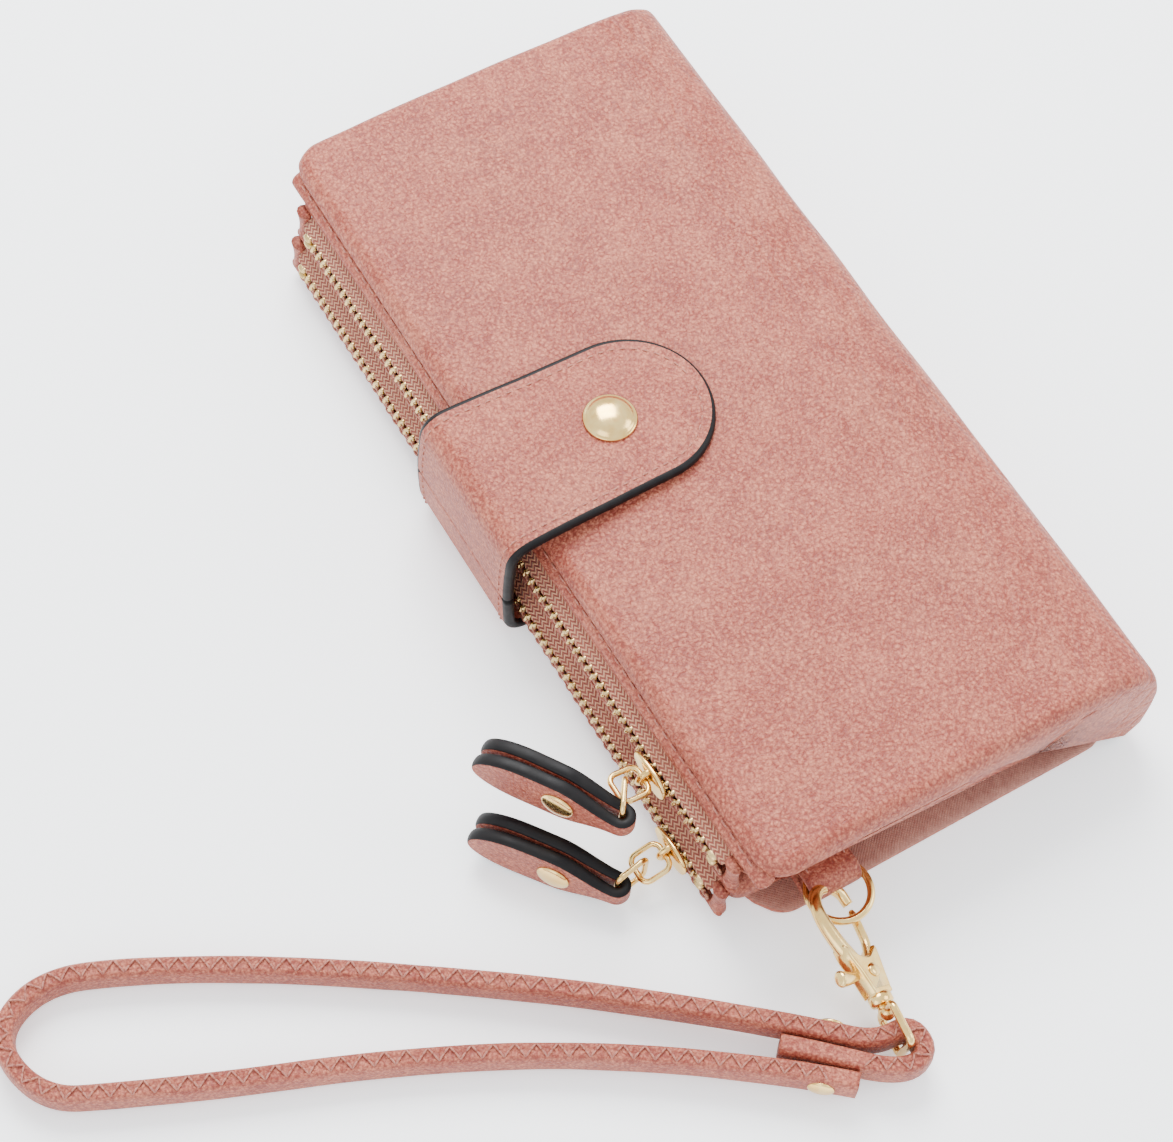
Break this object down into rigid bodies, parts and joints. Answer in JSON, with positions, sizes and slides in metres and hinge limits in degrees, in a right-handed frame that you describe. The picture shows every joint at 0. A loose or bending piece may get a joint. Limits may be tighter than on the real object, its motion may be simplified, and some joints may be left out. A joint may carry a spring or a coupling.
{
  "type": "wristlet wallet",
  "caption": "Long padded bifold wallet with zipped pouches along its open side, a snap tab over the front cover, and a wrist strap on a trigger hook.",
  "frame": {"origin": "middle of the back cover's rest face", "axes": "+X along the wallet towards the wrist strap's end, +Y towards the spine, +Z out of the front cover"},
  "size_m": [0.2313, 0.2274, 0.0354],
  "materials": {
    "leather": "dusty pink pebbled artificial leather",
    "suede_lining": "plain pink backing leather",
    "board": "grey-brown stiffening board",
    "pouch_lining": "plain woven lining",
    "foam": "thin soft foam",
    "zip_tape": "pink herringbone woven tape",
    "zip_teeth": "pale brass teeth",
    "gold_metal": "polished pale gold plating",
    "clear_window": "clear flexible sheet"
  },
  "bodies": {
    "back_leaf": {"back_cover": "leather", "back_board": "board", "back_lining": "pouch_lining", "tab_anchor": "leather", "spine": "leather", "side_loop": "leather", "lower_pouch": "pouch_lining", "lower_zip_facing": "leather", "lower_zip_tapes": "zip_tape", "lower_zip_teeth": "zip_teeth", "lower_zip_stops": "zip_teeth", "upper_pouch": "pouch_lining", "upper_zip_facing": "leather", "upper_zip_tapes": "zip_tape", "upper_zip_teeth": "zip_teeth", "upper_zip_stops": "zip_teeth"},
    "front_leaf": {"front_cover": "leather", "front_padding": "foam", "front_board": "board", "card_panel": "leather", "front_hem": "leather", "card_pockets": "leather", "id_window": "clear_window", "snap_stud": "gold_metal"},
    "tab_wrap": {"tab_wrap": "leather"},
    "tab_flap": {"tab_flap": "leather", "tab_flap_lining": "suede_lining", "snap_cap": "gold_metal", "snap_socket": "gold_metal"},
    "lower_slider": {"lower_slider": "gold_metal"},
    "lower_oval_link": {"lower_oval_link": "gold_metal"},
    "lower_ring_link": {"lower_ring_link": "gold_metal"},
    "lower_pull": {"lower_pull": "leather", "lower_pull_rivet": "gold_metal"},
    "upper_slider": {"upper_slider": "gold_metal"},
    "upper_oval_link": {"upper_oval_link": "gold_metal"},
    "upper_ring_link": {"upper_ring_link": "gold_metal"},
    "upper_pull": {"upper_pull": "leather", "upper_pull_rivet": "gold_metal"},
    "side_ring": {"side_ring": "gold_metal"},
    "hook": {"hook_body": "gold_metal", "hook_pin": "gold_metal"},
    "gate": {"hook_gate": "gold_metal"},
    "swivel": {"swivel_eye": "gold_metal"},
    "strap": {"wrist_strap": "leather", "strap_rivet": "gold_metal"}
  },
  "joints": [
    {"name": "cover_fold", "type": "hinge", "parent": "back_leaf", "child": "front_leaf", "pos_m": [0, 0.045, 0.0229], "axis": [-1, 0, 0], "range_deg": [0, 40]},
    {"name": "wrap_drop", "type": "hinge", "parent": "back_leaf", "child": "tab_wrap", "pos_m": [-0.004, -0.0496, 0.0062], "axis": [1, 0, 0], "range_deg": [0, 60], "deforming": ["tab_wrap"]},
    {"name": "flap_lift", "type": "hinge", "parent": "tab_wrap", "child": "tab_flap", "pos_m": [-0.004, -0.0496, 0.0282], "axis": [1, 0, 0], "range_deg": [0, 110], "deforming": ["tab_flap", "tab_flap_lining"]},
    {"name": "lower_zip_slide", "type": "slide", "parent": "back_leaf", "child": "lower_slider", "axis": [-1, 0, 0], "range_m": [-0.0015, 0.1475]},
    {"name": "lower_oval_swing", "type": "hinge", "parent": "lower_slider", "child": "lower_oval_link", "pos_m": [0.073, -0.05325, 0.0076], "axis": [-1, 0, 0], "range_deg": [-20, 12]},
    {"name": "lower_ring_swing", "type": "hinge", "parent": "lower_oval_link", "child": "lower_ring_link", "pos_m": [0.073, -0.05934, 0.00562], "axis": [-1, 0, 0], "range_deg": [-15, 10]},
    {"name": "lower_pull_swing", "type": "hinge", "parent": "lower_ring_link", "child": "lower_pull", "pos_m": [0.07425, -0.06453, 0.00637], "axis": [0, 0, 1], "range_deg": [-30, 35]},
    {"name": "upper_zip_slide", "type": "slide", "parent": "back_leaf", "child": "upper_slider", "axis": [1, 0, 0], "range_m": [-0.1355, 0.0135]},
    {"name": "upper_oval_swing", "type": "hinge", "parent": "upper_slider", "child": "upper_oval_link", "pos_m": [0.061, -0.05145, 0.0174], "axis": [-1, 0, 0], "range_deg": [-20, 12]},
    {"name": "upper_ring_swing", "type": "hinge", "parent": "upper_oval_link", "child": "upper_ring_link", "pos_m": [0.061, -0.05775, 0.01851], "axis": [-1, 0, 0], "range_deg": [-15, 10]},
    {"name": "upper_pull_swing", "type": "hinge", "parent": "upper_ring_link", "child": "upper_pull", "pos_m": [0.0669, -0.05998, 0.01926], "axis": [0, 0, 1], "range_deg": [-10, 50]},
    {"name": "side_ring_swing", "type": "hinge", "parent": "back_leaf", "child": "side_ring", "pos_m": [0.0919, -0.0285, 0.009], "axis": [0, -1, 0], "range_deg": [-8, 30], "deforming": ["side_loop"]},
    {"name": "hook_swing", "type": "hinge", "parent": "side_ring", "child": "hook", "pos_m": [0.101, -0.0336, 0.009], "axis": [0, 0, 1], "range_deg": [-8, 8]},
    {"name": "gate_swing", "type": "hinge", "parent": "hook", "child": "gate", "pos_m": [0.11288, -0.03263, 0.0079], "axis": [0.1384, 0.6059, 0.7834], "range_deg": [0, 7], "stiffness_Nm_per_rad": 0.02},
    {"name": "swivel_turn", "type": "hinge", "parent": "hook", "child": "swivel", "pos_m": [0.11832, -0.0331, 0.0073], "axis": [0.9904, -0.0866, -0.108], "range_deg": [-15, 15]},
    {"name": "strap_swing", "type": "hinge", "parent": "swivel", "child": "strap", "pos_m": [0.12832, -0.03398, 0.00621], "axis": [0, 0, 1], "range_deg": [-15, 15]}
  ],
  "couplings": [
    {"joint": "wrap_drop", "follows": "cover_fold", "ratio": 1.5},
    {"joint": "flap_lift", "follows": "cover_fold", "ratio": 2.75}
  ]
}
